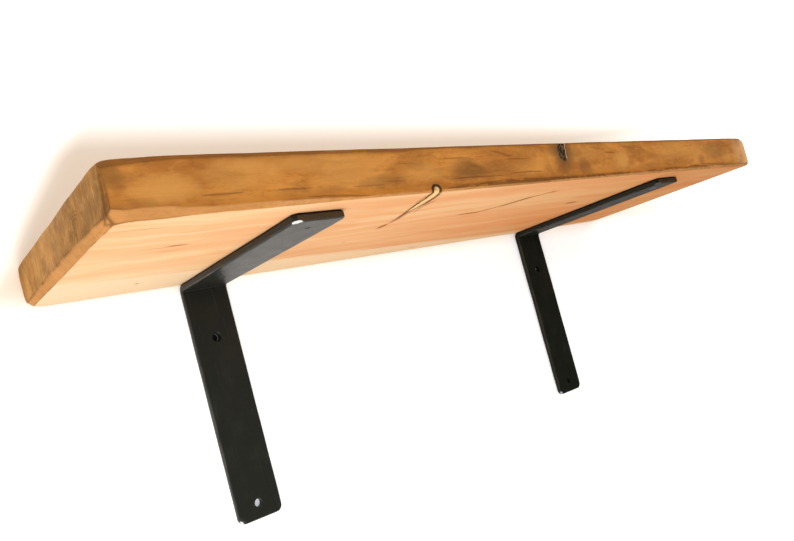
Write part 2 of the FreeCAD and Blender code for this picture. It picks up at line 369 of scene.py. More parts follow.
def plane_edges(points, x, y, z):
    """Plane the hand-worn edges. Returned by name: how high each point stood above each cut."""
    above = {}
    ripple = 1 + 0.18 * wander(x, 3.1, 34) + 0.1 * wander(x, 8.7, 11)
    above["front_under"] = cut(points, PLANK, {
        FRONT: ripple * profile(x, (0, 17), (5, 13), (10, 9), (17, 6.8), (30, 6.2), (60, 3.6), (110, 3.4),
                                (150, 1.5), (400, 1.3), (600, 2.2), (720, 2.6)),
        UNDER: ripple * profile(x, (0, 5.6), (12, 5.2), (30, 4.6), (50, 3.4), (80, 2.8), (110, 3.0),
                                (150, 1.3), (400, 1.3), (600, 2.0), (720, 2.4)),
    }, soft=0.25)
    ripple = 1 + 0.16 * wander(x, 5.3, 46) + 0.08 * wander(x, 1.9, 13)
    above["front_top"] = cut(points, PLANK, {
        FRONT: ripple * profile(x, (0, 5), (12, 4), (30, 2.2), (60, 1.4), (190, 1.4), (240, 1.1),
                                (420, 0.9), (720, 2.0)),
        TOP: ripple * profile(x, (0, 6), (12, 5.2), (30, 3.4), (60, 2.6), (190, 2.7), (240, 1.7),
                              (420, 1.1), (720, 2.2)),
    }, soft=0.35)
    ripple = 1 + 0.14 * wander(z, 2.2, 12)
    above["left_front"] = cut(points, PLANK, {
        LEFT: ripple * profile(z, (0, 0.7), (8, 1.0), (16, 1.5), (33, 1.6)),
        FRONT: ripple * profile(z, (0, 8), (6, 6.5), (16, 3.8), (33, 2.6)),
    }, soft=0.25)
    ripple = 1 + 0.12 * wander(y, 6.6, 34)
    above["left_under"] = cut(points, PLANK, {
        LEFT: ripple * profile(y, (0, 4.6), (60, 3.6), (220, 4.4)),
        UNDER: ripple * profile(y, (0, 3.4), (50, 5.4), (130, 5.8), (200, 4.0), (220, 3.2)),
    }, soft=0.25)
    above["right_front"] = cut(points, PLANK, {RIGHT: 18 + 3 * wander(z, 1.2, 18), FRONT: 1.5}, soft=0.6)
    return above


def rub_edges(points, x, y, z):
    """Round the other edges a little, each by its own uneven amount."""
    cut(points, PLANK, {LEFT: 2.0 + 0.4 * wander(y, 7.7, 30), TOP: 1.8 + 0.3 * wander(y, 9.3, 22)}, soft=0.8)
    cut(points, PLANK, {RIGHT: 0.9 + 0.2 * wander(z, 4.4, 14), FRONT: 1.0}, soft=0.6)
    cut(points, PLANK, {RIGHT: 2.6 + 0.6 * wander(y, 2.9, 32), UNDER: 2.4}, soft=0.8)
    cut(points, PLANK, {RIGHT: 2.2 + 0.4 * wander(y, 3.9, 27), TOP: 2.2}, soft=0.8)
    cut(points, PLANK, {BACK: 1.0 + 0.3 * wander(x, 4.9, 60), UNDER: 0.9}, soft=0.3)
    cut(points, PLANK, {BACK: 1.0 + 0.3 * wander(x, 6.2, 60), TOP: 0.9}, soft=0.3)
    for end in (LEFT, RIGHT):
        cut(points, PLANK, {BACK: 1.3, end: 1.3}, soft=0.4)


def hollow_faces(points, sawn):
    """Sink each face unevenly, where the saw left it flat."""
    uneven = lumps(points, (38, 38, 16), 4.7) + 0.5 * lumps(points, (15, 15, 9), 9.1)
    for face, height in HOLLOWS.items():
        axis, side = face
        on_face = between(-face_distance(sawn, PLANK, face), -1.0, 0)
        share = on_face * height * (uneven + 0.7) / 1.7
        points[:, axis] += np.maximum(share, 0) * (1 if side == LOW else -1)


def make_plank(material):
    """Wear the sawn box down: planed edges, rubbed edges and corners, slightly uneven faces."""
    steps = [
        graded(LENGTH, 0.6, 2.4, 10),
        graded(DEPTH, 0.6, 3.2, 9),
        graded(THICKNESS, 0.55, 1.1, 7),
    ]
    points, quads = box_shell(steps)
    sawn = points.copy()
    heights = plane_edges(points, *sawn.T)
    rub_edges(points, *sawn.T)
    for faces, legs in WORN_CORNERS.items():
        cut(points, PLANK, dict(zip(faces, legs)), soft=1.8)
    hollow_faces(points, sawn)
    marks = {name: between(above, -0.12, 0.12) for name, above in heights.items()}
    marks["crease"] = np.clip(sum(np.exp(-np.square(above / 0.7)) for above in heights.values()), 0, 1)
    planed = np.maximum(marks["front_under"], marks["left_under"])
    marks["raw"] = between(-sawn[:, Z], -0.3, 0) * (1 - planed)
    points = points * MM + np.array(PLANK_LOW)
    plank = make_object("plank", points, quads, marks, material)
    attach(plank, "root")
    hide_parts("shelf_board")


# ---------------- the plank's wood

PITH = (75, 12)          # the tree's centre line in the plank: mm from its front face and underside
RING_WIDTH = 3.6
KNOT_END = (374, 25.5)   # the round knot in the front face: mm from the left end and the underside
KNOT_ROUND = 6.0
# The knot that is sawn along its length: its line out to the lower front edge, and its half width.
KNOT_SPIKE = (
    ((232.5, 52, 0.0), 0.2),
    ((231.5, 43, 0.0), 2.2),
    ((229.0, 29, 0.0), 3.6),
    ((226.0, 14, 0.2), 3.8),
    ((220.6, 0, 1.3), 3.5),
)
# Below, a spot is its middle, half length, half height and strength, and a line is its start, end, half
# thickness and strength. Both are in mm, in the front face from the left end and the underside.
# Thin dark lines in the front face.
FRONT_LINES = (
    (49, 9.5, 76, 9.4, 0.8, 0.8), (95, 9.5, 122, 9.3, 0.7, 0.8), (112, 4.2, 168, 1.6, 0.7, 0.8),
    (150, 8.4, 176, 8.0, 0.6, 0.5), (172, 10.2, 196, 9.6, 0.6, 0.5), (236, 9.0, 296, 8.4, 0.7, 1.0),
    (299, 10.0, 345, 9.7, 0.7, 0.8), (229, 2.1, 264, 3.1, 0.9, 0.6), (261, 3.1, 294, 4.9, 0.9, 0.9),
    (291, 4.7, 311, 3.7, 0.6, 0.9), (309, 5.3, 337, 3.6, 0.7, 1.0), (333, 3.3, 420, 2.2, 0.8, 0.9),
    (284, 28.1, 311, 22.9, 1.4, 0.7), (299, 21.3, 330, 20.5, 0.6, 0.8), (227, 23.6, 263, 23.8, 0.5, 0.6),
    (434, 23.3, 452, 21.7, 0.7, 0.7), (402, 3.0, 471, 2.4, 0.9, 0.9), (480, 2.2, 562, 1.2, 0.6, 0.6),
    (513, 4.4, 582, 2.8, 0.8, 0.8), (574, 3.7, 604, 3.9, 1.2, 0.9), (598, 6.0, 662, 4.0, 0.8, 0.8),
    (412, 28.1, 439, 25.3, 0.8, 0.5), (459, 27.5, 497, 26.2, 0.6, 0.4),
)
# Soft stains in the front face.
FRONT_STAINS = (
    (4, 23, 11, 9, 0.95), (12, 5, 14, 4, 0.45), (256, 15, 17, 9, 0.85), (284, 14, 30, 6, 0.5),
    (175, 10, 20, 4, 0.6), (399, 10.5, 10, 8, 0.75), (608, 10, 6, 6, 0.7), (642, 19, 27, 10, 0.5),
    (330, 25, 22, 4, 0.35), (362, 28, 9, 6, 0.6), (391, 25, 10, 6, 0.55), (118, 6, 26, 4, 0.4),
    (212, 22, 16, 6, 0.35), (505, 7, 26, 4, 0.35),
)
# Patches of it that are paler than the rest.
FRONT_PALE = (
    (458, 14.5, 13, 9, 0.75), (30, 14, 18, 9, 0.75), (150, 15, 28, 8, 0.55), (75, 20, 24, 9, 0.45),
    (212, 14, 20, 7, 0.45), (550, 22, 40, 9, 0.4), (330, 14, 26, 7, 0.35), (664, 12, 14, 9, 0.3),
    (125, 25, 60, 6, 0.5), (390, 22, 40, 7, 0.45), (610, 18, 40, 10, 0.4),
)
# Small brown flecks in the underside, from the left end and the front face.
UNDER_FLECKS = (
    (60, 71, 8, 1.5, 1.0), (69, 182, 1.8, 2.0, 0.9), (237, 88, 3, 7, 1.2), (486, 85, 10, 3.4, 0.9),
    (46, 73, 14, 1.0, 0.4), (22, 24, 16, 0.9, 0.5), (238.6, 29, 1.4, 8, 0.7), (560, 60, 14, 0.9, 0.4),
    (366, 206, 7, 1.2, 0.6), (60, 84, 9, 1.2, 0.35), (227, 131, 3, 1.2, 0.5), (62, 40, 20, 1.0, 0.3),
)
# A slanting line near its right end.
UNDER_LINES = ((528, 18, 584, -2, 1.3, 0.8),)
# Dark wisps beside the sawn knot, with the distance from the front face first.
KNOT_WISPS = (
    (4, 228.5, 34, 235.5, 1.7, 0.9), (14, 231, 46, 238, 1.1, 0.7), (38, 230.5, 68, 235.5, 1.8, 0.95),
    (54, 235, 82, 239, 1.3, 0.8), (6, 216.5, 28, 222.5, 1.1, 0.6), (26, 236, 60, 243, 1.0, 0.5),
)
KNOT_TIP = ((228.5, 62, 3.6, 20, 1.0),)     # a spot of reddened wood at its tip, placed like the flecks
# Dark smudges in the left end, from the front face and the underside.
END_STAINS = (
    (7, 18, 8, 15, 0.8), (24, 13, 12, 7, 0.5), (45, 5, 13, 5, 0.6), (62, 14, 12, 9, 0.55),
    (30, 26, 16, 5, 0.45), (84, 6, 16, 5, 0.45), (112, 22, 20, 8, 0.3), (150, 8, 22, 7, 0.3),
)
END_ARCS = (60, 8)       # the middle of the arcs in the ends: mm from the front face and the underside
END_ARC_GAP = 3.1
# The sapwood's edge: its distance from the front face at the left end, and where it stops slanting back.
SAP_LEFT, SAP_RIGHT, SAP_RUN = 146, 214, 620
# The wavy line in the underside: from and to, in mm from the left end, and its distances from the front.
WAVE_FADE_IN, WAVE_BEND, WAVE_FADE_OUT = (306, 326), (330, 400), (402, 388)
WAVE_STEEP = ((352, 361), (380, 370))
WAVE_LEFT, WAVE_RIGHT = 78, 31
ROUGH_LIP = ((205, 250), (700, 640))        # where the lower front edge's dirt fades in and out

# The raw underside.
CREAM, PEACH, AMBER = (0.56, 0.385, 0.215), (0.53, 0.28, 0.135), (0.47, 0.215, 0.085)
SAPWOOD, FALLOFF_TINT, FLECK = (0.575, 0.425, 0.27), (0.93, 0.58, 0.27), (0.22, 0.07, 0.02)
# The waxed faces.
HONEY, TAN, UMBER = (0.535, 0.213, 0.043), (0.37, 0.135, 0.029), (0.13, 0.05, 0.014)
MOTTLE_PALE, CURL_PALE, CURL_DARK = (0.56, 0.25, 0.06), (0.56, 0.26, 0.06), (0.22, 0.085, 0.02)
TOP_GRAIN, LOW_ORANGE, FRONT_PATCH = (0.2, 0.078, 0.018), (0.4, 0.135, 0.018), (0.56, 0.26, 0.065)
FRONT_LINE, FRONT_STAIN, LIP_DIRT = (0.15, 0.052, 0.014), (0.155, 0.068, 0.022), (0.12, 0.045, 0.013)
# The ends.
END_PALE, END_DARK, END_SMOKE = (0.46, 0.22, 0.062), (0.31, 0.137, 0.032), (0.225, 0.104, 0.03)
END_FRONT, END_STAIN, END_ARC = (0.205, 0.088, 0.022), (0.115, 0.051, 0.009), (0.09, 0.038, 0.012)
SCUFF_PALE, SCUFF_DARK, WORN_END = (0.47, 0.25, 0.085), (0.13, 0.056, 0.014), (0.76, 0.42, 0.18)
# The planed and worn edges, painted shade on the top front edge, and darker creases.
FACET_PALE, FACET_DARK, FACET_CURL = (0.455, 0.226, 0.085), (0.375, 0.174, 0.058), (0.265, 0.118, 0.03)
TOP_FACET_SHADE, UPRIGHT_EDGE, SEAM_DARK = (0.205, 0.078, 0.02), (0.115, 0.048, 0.014), (0.105, 0.042, 0.013)
# The knots.
SPIKE_TIP, SPIKE_HALO, WISP = (0.33, 0.11, 0.04), (0.3, 0.12, 0.04), (0.085, 0.03, 0.011)
SPIKE_PALE, SPIKE_GRAIN, BARK = (0.66, 0.42, 0.18), (0.36, 0.165, 0.05), (0.03, 0.014, 0.007)
KNOT_HALO, KNOT_CHECK = (0.115, 0.052, 0.02), (0.55, 0.34, 0.16)
SPECKLE_DARK, SPECKLE_PALE = (0.012, 0.008, 0.005), (0.12, 0.075, 0.04)

WAX_GLOSS = 0.006
WOOD_RELIEF = 0.00022


def spots(u, v, places):
    """Soft lens-shaped spots: the sum of their strengths at (u, v)."""
    total = 0.0
    for at_u, at_v, half_u, half_v, strength in places:
        across = (u - at_u) / half_u
        up = (v - at_v) / half_v
        total = total + step(across * across + up * up, 1.6, 0.0) * strength
    return total


def strokes(u, v, lines):
    """Straight strokes that taper to nothing at both ends: the sum of their strengths at (u, v)."""
    total = 0.0
    for start_u, start_v, end_u, end_v, thick, strength in lines:
        half = (end_u - start_u) / 2
        along = (u - (start_u + half)) / half
        off_line = abs(v - (start_v + end_v) / 2 - along * ((end_v - start_v) / 2))
        width = (1 - along * along) * (thick * 1.3) + 0.05
        total = total + step(off_line / width, 1.15, 0.1) * step(abs(along), 1.0, 0.8) * strength
    return total


def to_spike(at):
    """Distance in mm outside the sawn knot: a chain of cones. The lowest is taken along the chain."""
    nearest = None
    for (start, start_width), (end, end_width) in zip(KNOT_SPIKE, KNOT_SPIKE[1:]):
        run = Vector(end) - Vector(start)
        offset = vector_calc("SUBTRACT", at, start)
        share = vector_calc("DOT_PRODUCT", offset, tuple(run / run.length_squared), scalar=True)
        share = calc("MINIMUM", calc("MAXIMUM", share, 0.0), 1.0)
        nearest_step = vector_calc("MULTIPLY", join(share, share, share), tuple(run))
        foot = vector_calc("SUBTRACT", offset, nearest_step)
        away = vector_calc("LENGTH", foot, scalar=True) - (start_width + share * (end_width - start_width))
        nearest = away if nearest is None else calc("MINIMUM", nearest, away)
    return nearest


class Figure:
    """The plank's figure, in mm from its left lower front corner: what all its colours are drawn with."""

    def __init__(self, at):
        x, y, z = split(at)
        self.at, self.x, self.y, self.z = at, x, y, z

        # Unevenness, from slow to quick.
        self.ripple = grain(at, 0.05, (0.16, 1, 1), detail=3, offset=11) - 0.5
        self.wobble = (grain(at, 0.09, (0.6, 0.3, 1), detail=3) - 0.5) * 7
        self.ragged = (grain(at, 0.22, detail=3) - 0.5) * 3.0

        # Fibres and bands along the plank.
        flow = join(x, y + (grain(at, 0.009, (1, 0.4, 1), detail=2, offset=23) - 0.5) * 44, z)
        self.fibre = grain(at, 1.0, (0.03, 1.6, 1.6), detail=4, rough=0.6)
        self.strand = grain(flow, 0.2, (0.026, 1, 1), detail=4, rough=0.58, warp=0.25, offset=5)
        self.band = grain(flow, 0.05, (0.055, 1, 0.6), detail=4, rough=0.58, warp=0.3, offset=7)
        self.dash = grain(at, 0.34, (0.1, 1, 1), detail=3, rough=0.6, warp=0.2, offset=17)

        # Blotches, from large to small.
        self.cloud = grain(at, 0.03, (0.3, 1, 1), detail=3, rough=0.5, warp=0.3, offset=15)
        self.blotch = grain(at, 0.035, (0.55, 1, 1.5), detail=4, rough=0.55, warp=0.5, offset=2)
        self.mottle = grain(at, 0.1, (0.5, 1, 1), detail=4, rough=0.6, warp=0.8, offset=8)
        self.curl = grain(at, 0.17, (0.45, 1, 1), detail=5, rough=0.68, warp=1.4, offset=27)

        # The distances in mm outside the two knots.
        self.spike = to_spike(at) + (grain(at, 0.35, (1, 0.6, 1), detail=3, rough=0.6) - 0.5) * 2.4
        self.knot_x = x - KNOT_END[0] - (z - KNOT_END[1]) * 0.15
        knot_z = (z - KNOT_END[1]) / 1.45
        self.knot = distance(self.knot_x, knot_z) + y * 0.1 + self.ragged - KNOT_ROUND

        # The dark late wood of the rings, which pass round the pith and bulge round the knots.
        sway = grain(at, 0.011, (0.35, 1, 1), detail=2, offset=3) - 0.5
        bulge = step(self.spike, 16, 0) * 4.0 + step(self.knot, 26, 0) * 6.0
        radius = distance(y - PITH[0] + sway * 26, z - PITH[1] + sway * 9) + bulge + self.ripple * 9
        ring = calc("FRACT", radius / RING_WIDTH)
        self.late = step(ring, 0.15, 0.88) * step(ring, 1.0, 0.9)


def raw_underside(fig):
    """Peach wood with straight cream and orange bands, flecks, and sapwood along the back edge."""
    x, y = fig.x, fig.y
    under = blend(step(fig.band, 0.36, 0.66) * 0.85, PEACH, CREAM)
    amber = step(fig.strand, 0.54, 0.74) * 0.3 + step(fig.cloud, 0.48, 0.66) * 0.3 + fig.late * 0.1
    under = blend(amber, under, AMBER)
    sap_edge = SAP_RIGHT - step(x, SAP_RUN, 0, smooth=False) * (SAP_RIGHT - SAP_LEFT)
    sap = step(y - (sap_edge + (fig.strand - 0.5) * 26), -8, 6)
    under = blend(sap * 0.85, under, SAPWOOD)
    # Painted shade: the underside grows darker and more orange towards the right end, away from the low key
    # light, less so on the sapwood.
    right_falloff = step(x, 40, 600, smooth=False) * (0.74 - sap * 0.4)
    under = blend(right_falloff, under, FALLOFF_TINT, mode="MULTIPLY")

    wave_y = WAVE_LEFT - step(x, *WAVE_BEND) * (WAVE_LEFT - WAVE_RIGHT)
    wave_y = wave_y + (grain(fig.at, 0.12, (1, 0.1, 0.1), detail=2) - 0.5) * 7
    steep = step(x, *WAVE_STEEP[0]) * step(x, *WAVE_STEEP[1])
    wave = step(abs(y - wave_y) * (1 - steep * 0.6), 3.6, 0.4)
    wave = wave * step(x, *WAVE_FADE_IN) * step(x, *WAVE_FADE_OUT)
    flecks = spots(x, y + fig.ripple * 3, UNDER_FLECKS) + wave + strokes(x, y, UNDER_LINES)
    flecks = flecks + step(fig.strand, 0.66, 0.74) * step(fig.fibre, 0.52, 0.66) * 0.5
    return blend(calc("MINIMUM", flecks, 1.0) * 0.88, under, FLECK)


def waxed_face(fig):
    """Deep honey colour with smoky blotches and dark streaks, and straight dark grain in the top."""
    top_only = step(fig.z, THICKNESS - 2.5, THICKNESS - 1)
    long_grain = grain(fig.at, 0.16, (0.014, 1, 1), detail=4, rough=0.6, offset=21)
    return layers(
        blend(step(fig.blotch, 0.32, 0.64), TAN, HONEY),
        (step(fig.mottle, 0.42, 0.66) * 0.45, TAN), (step(fig.mottle, 0.46, 0.3) * 0.35, MOTTLE_PALE),
        (step(fig.strand, 0.48, 0.72) * 0.35, TAN), (step(fig.dash, 0.54, 0.72) * 0.3, UMBER),
        (step(fig.curl, 0.52, 0.64) * 0.3, CURL_PALE), (step(fig.curl, 0.46, 0.36) * 0.3, CURL_DARK),
        (fig.late * (0.16 + top_only * 0.34), UMBER),
        (step(long_grain, 0.5, 0.66) * top_only * 0.5, TOP_GRAIN),
        (step(fig.z + fig.ripple * 8, 8, 3) * 0.45, LOW_ORANGE))


def mark_front(fig, face, streaks, front_only):
    """Pale patches, dark lines and stains in the front, and dirt along its rough lower edge."""
    x, z, wobble = fig.x, fig.z, fig.wobble
    stains = calc("MINIMUM", spots(x + wobble * 3, z + wobble * 1.2, FRONT_STAINS), 1.0)
    lip = step(z + (fig.curl - 0.5) * 5.0, 5.6, 3.2) * step(x, *ROUGH_LIP[0]) * step(x, *ROUGH_LIP[1])
    return layers(
        face,
        (spots(x + wobble * 3, z - wobble, FRONT_PALE) * front_only, FRONT_PATCH),
        (streaks * front_only * step(fig.fibre, 0.2, 0.5) * 0.75, FRONT_LINE),
        (stains * front_only * (0.48 + fig.mottle * 0.3), FRONT_STAIN),
        (lip * front_only * step(fig.curl + fig.cloud, 0.8, 1.05) * 0.75, LIP_DIRT))


def end_grain(fig):
    """Faint upright bands and stains, and broken arcs of the rings about their centre."""
    at, y, z = fig.at, fig.y, fig.z
    brushed = grain(at, 0.036, (1, 1, 0.45), detail=4, rough=0.6, warp=0.6, offset=9)
    smoky = grain(at, 0.045, (1, 1, 1.2), detail=4, rough=0.6, warp=0.5, offset=1)
    stains = calc("MINIMUM", spots(y + fig.ragged * 2, z + fig.ragged, END_STAINS), 1.0)
    arc = distance(y - END_ARCS[0], (z - END_ARCS[1]) * 1.15) + (smoky - 0.5) * 26
    arc_line = step(abs(calc("FRACT", arc / END_ARC_GAP) - 0.5), 0.34, 0.06) * step(arc, 34, 22)
    broken = step(grain(at, 0.13, detail=2, offset=4), 0.4, 0.6)
    scuff = grain(at, 0.42, (1, 0.8, 0.3), detail=4, rough=0.65, warp=0.8, offset=29)
    return layers(
        blend(step(brushed, 0.34, 0.66), END_DARK, END_PALE),
        (step(smoky, 0.4, 0.7) * 0.7, END_SMOKE), (step(y, 170, 10) * 0.4, END_FRONT),
        (stains * 0.7, END_STAIN), (arc_line * broken * 0.55, END_ARC),
        (step(scuff, 0.52, 0.64) * 0.3, SCUFF_PALE), (step(scuff, 0.47, 0.36) * 0.32, SCUFF_DARK))


def put_ends(fig, face, ends):
    """End grain at both ends, and the front rubbed pale towards the right one."""
    is_end = calc("MAXIMUM", step(fig.x, 0.9, 0.5), step(fig.x, LENGTH - 0.9, LENGTH - 0.5))
    face = blend(is_end, face, ends)
    worn = step(fig.x, LENGTH - 44, LENGTH - 8) * step(fig.y, 8, 5)
    return blend(worn * (0.55 + fig.cloud * 0.45), face, WORN_END)


def mark_edges(fig, face, ends, mark, crease_darkening):
    """The facets planed along the edges are cleaner wood, their creases are painted darker in patches, and
    the top front edge gets painted shade.
    """
    facet = calc("MAXIMUM", mark("front_under"), mark("left_under"))
    planed = blend(step(fig.cloud, 0.36, 0.64), FACET_PALE, FACET_DARK)
    planed = blend(step(fig.curl, 0.44, 0.62) * 0.45, planed, FACET_CURL)
    planed = blend(mark("left_under") * step(fig.y, 10, 40) * 0.45, planed, ends)
    # The top front edge is painted darker: painted shade on its upward-facing facet.
    return layers(
        face, (facet * 0.85, planed), (mark("front_top") * 0.7, TOP_FACET_SHADE),
        (mark("left_front") * (0.35 + step(fig.mottle, 0.4, 0.62) * 0.4), UPRIGHT_EDGE),
        (crease_darkening * 0.8, SEAM_DARK))


def sawn_knot(fig, colour, raw):
    """Pale heart, dark bark line, dark wisps, and reddened wood at its tip."""
    x, y, spike = fig.x, fig.y, fig.spike
    colour = blend(spots(x - y * 0.12, y, KNOT_TIP) * raw * 0.6, colour, SPIKE_TIP)
    colour = blend(step(spike, 4.0, 0.5) * 0.4, colour, SPIKE_HALO)
    wisps = strokes(y + fig.wobble, x + fig.wobble * 0.3, KNOT_WISPS) * raw
    colour = blend(calc("MINIMUM", wisps, 1.0) * 0.85, colour, WISP)
    lengthwise = grain(fig.at, 0.8, (1.4, 0.09, 1), detail=3, offset=19)
    heart = blend(step(lengthwise, 0.46, 0.62) * 0.75, SPIKE_PALE, SPIKE_GRAIN)
    colour = blend(step(spike, 0.25, -0.25), colour, heart)
    bark_side = 0.6 + step(x - 226 - y * 0.1, 3, -3) * 0.4
    return blend(step(abs(spike), 1.55, 0.55) * bark_side * 0.95, colour, BARK)


def round_knot(fig, colour, speckle):
    """Dark speckled heart, brown halo, one pale check line."""
    knot = fig.knot
    colour = blend(step(knot, 12.0, 0.0) * 0.72, colour, KNOT_HALO)
    heart = blend(speckle, SPECKLE_DARK, SPECKLE_PALE)
    colour = blend(step(knot, 0.9, -0.7) * 0.95, colour, heart)
    check = abs(fig.knot_x - 4.4 + (grain(fig.at, 0.24, (0, 1, 1), detail=2) - 0.5) * 5)
    check_line = step(check, 0.75, 0.3) * step(knot, 3.0, 1.0) * step(fig.z, 18, 20)
    return blend(check_line * 0.9, colour, KNOT_CHECK)


def wood_material():
    m = Material("waxed_pine")
    fig = Figure(m.mm_from(PLANK_LOW))
    raw = m.mark("raw")
    front_only = step(fig.y, 6, 3)
    streaks = strokes(fig.x + fig.wobble, fig.z + fig.wobble * 0.22, FRONT_LINES)
    streaks = calc("MINIMUM", streaks, 1.0)
    # Patchy darkening painted along the creases where the planed cuts meet the faces, strongest near the
    # left end.
    patchy = step(grain(fig.at, 0.05, (0.5, 1, 1), detail=4, rough=0.6, offset=6), 0.38, 0.66)
    near_left = calc("MAXIMUM", m.mark("left_front"), step(fig.x, 14, 4))
    crease_darkening = m.mark("crease") * patchy * (0.55 + near_left * 0.45)
    speckle = step(grain(fig.at, 0.62, detail=3, rough=0.7), 0.44, 0.56)

    ends = end_grain(fig)
    face = mark_front(fig, waxed_face(fig), streaks, front_only)
    face = mark_edges(fig, put_ends(fig, face, ends), ends, m.mark, crease_darkening)
    colour = blend(raw, face, raw_underside(fig))
    colour = round_knot(fig, sawn_knot(fig, colour, raw), speckle)
    colour = shade(colour, 0.92 + fig.fibre * 0.16)

    wax = 0.48 - step(fig.blotch, 0.35, 0.7) * 0.06 + (fig.fibre - 0.5) * 0.14
    bare = 0.62 + (fig.fibre - 0.5) * 0.14
    m.set(Base_Color=colour, Roughness=wax + raw * (bare - wax), Specular_IOR_Level=WAX_GLOSS)

    relief = fig.fibre * 0.5 + fig.strand * 0.4 - fig.late * 0.25 - crease_darkening * 0.4
    relief = relief - step(fig.knot, 0.5, -0.5) * (1 - speckle) * 1.5
    relief = relief - step(abs(fig.spike), 0.9, 0.2) * 1.2 - streaks * front_only * 0.6
    m.bump(relief, WOOD_RELIEF)
    return m.material


# ---------------- the brackets' shape

BEND_INNER = 2.0
BEND_CORNER = 1.16           # how much further out than an arc the bend's outer face stands at its middle
# The arm's left and right corners: the radius of each, and how far the right one is ground along each face.
END_ROUND = {"left_bracket": (4.0, 4.0), "right_bracket": (4.0, 1.5)}
END_GROUND = {"left_bracket": (6.0, 5.0, 2.0), "right_bracket": (2.4, 2.2, 1.2)}
FOOT_ROUND = 5.5
# How far a corner is ground along the bar's side, its end and its inner face.
ARM_GRIND = (8, 6, 2.6)
LEFT_FOOT_GRIND, RIGHT_FOOT_GRIND = (8.5, 8.5, 2.4), (8.0, 8.0, 1.8)
# Drilled holes: mm along the leg from the plank's underside, and along the arm from the wall.
WALL_HOLES = ((49.0, 8.8), (192.0, 7.6))     # with the width of each hole's deburred mouth
WALL_HOLE_WIDTH = 7.0
SCREW_PLACES = (45.0, 182.0)
SCREW_HOLE_WIDTH, SCREW_HEAD_WIDTH = 4.5, 8.0


class Bar:
    """One bracket's sizes in mm, read from its CAD box, and the way from the flat bar to the bent one.

    Flat points are (across, along from the arm's end, height above the inner face). Bent points are
    (X from the bar's left side, Y from the wall, Z from the plank's underside).
    """

    def __init__(self, node):
        low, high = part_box(node)
        self.node = node
        self.origin = np.array([low.x, high.y, high.z])
        self.width, self.arm, self.leg = ((h - l) / MM for l, h in zip(low, high))
        screw_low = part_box(node.replace("bracket", "front_screw"))[0]
        self.thick = (high.z - screw_low.z) / MM
        self.outer = BEND_INNER + self.thick
        self.bend_start = self.arm - self.outer
        self.bend_length = math.pi / 2 * (BEND_INNER + self.thick / 2)
        self.length = self.bend_start + self.bend_length + self.leg - self.outer
        self.flat = np.array([self.width, self.length, self.thick])

    def bend(self, flat):
        """Round the bend, where the inner side of the steel is squeezed a little wider."""
        across, along, height = flat.T
        past_start = along - self.bend_start
        angle = np.clip(past_start / self.bend_length, 0, 1) * math.pi / 2
        square = 1 + (BEND_CORNER - 1) * np.sin(angle * 2) ** 2 * np.clip(height / self.thick, 0, 1)
        radius = (BEND_INNER + height) * square
        swell = np.sin(angle * 2) * (0.5 - height / self.thick) * 0.6
        middle = self.width / 2
        x = across + (across - middle) / middle * swell
        y = -self.outer + np.minimum(past_start, 0) + radius * np.sin(angle)
        z = -self.outer - np.maximum(past_start - self.bend_length, 0) + radius * np.cos(angle)
        return np.stack([x, y, z], axis=1)

    def unbend(self, bent):
        """Flat points for bent ones, without the swelling."""
        x, y, z = bent.T
        angle = np.arctan2(np.maximum(y + self.outer, 0), np.maximum(z + self.outer, 0) + 1e-9)
        on_arm, on_leg = y <= -self.outer, z <= -self.outer
        along = self.bend_start + angle / (math.pi / 2) * self.bend_length
        along = np.where(on_arm, self.bend_start + y + self.outer, along)
        along = np.where(on_leg, self.bend_start + self.bend_length - self.outer - z, along)
        height = np.hypot(y + self.outer, z + self.outer) - BEND_INNER
        height = np.where(on_arm, z + self.thick, np.where(on_leg, y + self.thick, height))
        return np.stack([x, along, height], axis=1)


def round_corner(points, size, faces, radius):
    """Turn the square corner between two upright faces of a flat bar into an arc."""
    inward = np.stack([radius - face_distance(points, size, face) for face in faces], axis=1)
    near = np.all(inward > 0, axis=1)
    square = inward[near]
    arc = square * (square.max(axis=1) / np.hypot(*square.T))[:, None]
    for (axis, side), moved in zip(faces, (square - arc).T):
        points[near, axis] += moved * (1 if side == LOW else -1)


def shape_bar(flat, bar, seed):
    """Ease the edges, round and grind the corners, and leave the faces a little uneven."""
    size = bar.flat
    along = flat[:, Y].copy()
    across = flat[:, X].copy()
    for face in (UNDER, TOP):
        for side in (LEFT, RIGHT):
            ease = (1.2 if face == TOP else 0.75) + 0.25 * wander(along, seed + side[1] + 2 * face[1], 26)
            cut(flat, size, {side: ease, face: ease}, soft=0.25)
        for end in (FRONT, BACK):
            ease = (1.2 if face == TOP else 0.7) + 0.25 * wander(across, seed + 5 + end[1] + face[1], 9)
            cut(flat, size, {end: ease, face: ease}, soft=0.2)
    for side in (LEFT, RIGHT):
        round_corner(flat, size, (side, FRONT), END_ROUND[bar.node][side[1]])
        round_corner(flat, size, (side, BACK), FOOT_ROUND)
    cut(flat, size, dict(zip((LEFT, FRONT, UNDER), ARM_GRIND)), soft=0.2)
    cut(flat, size, dict(zip((RIGHT, FRONT, UNDER), END_GROUND[bar.node])), soft=0.3)
    cut(flat, size, dict(zip((LEFT, BACK, UNDER), LEFT_FOOT_GRIND)), soft=0.3)
    cut(flat, size, dict(zip((RIGHT, BACK, UNDER), RIGHT_FOOT_GRIND)), soft=0.3)
    flat[:, X] += 0.12 * wander(along, seed + 20, 60)
    flat[:, Z] += 0.05 * (wander(along, seed + 30, 40) - 1) * between(flat[:, Z], 3, 5)


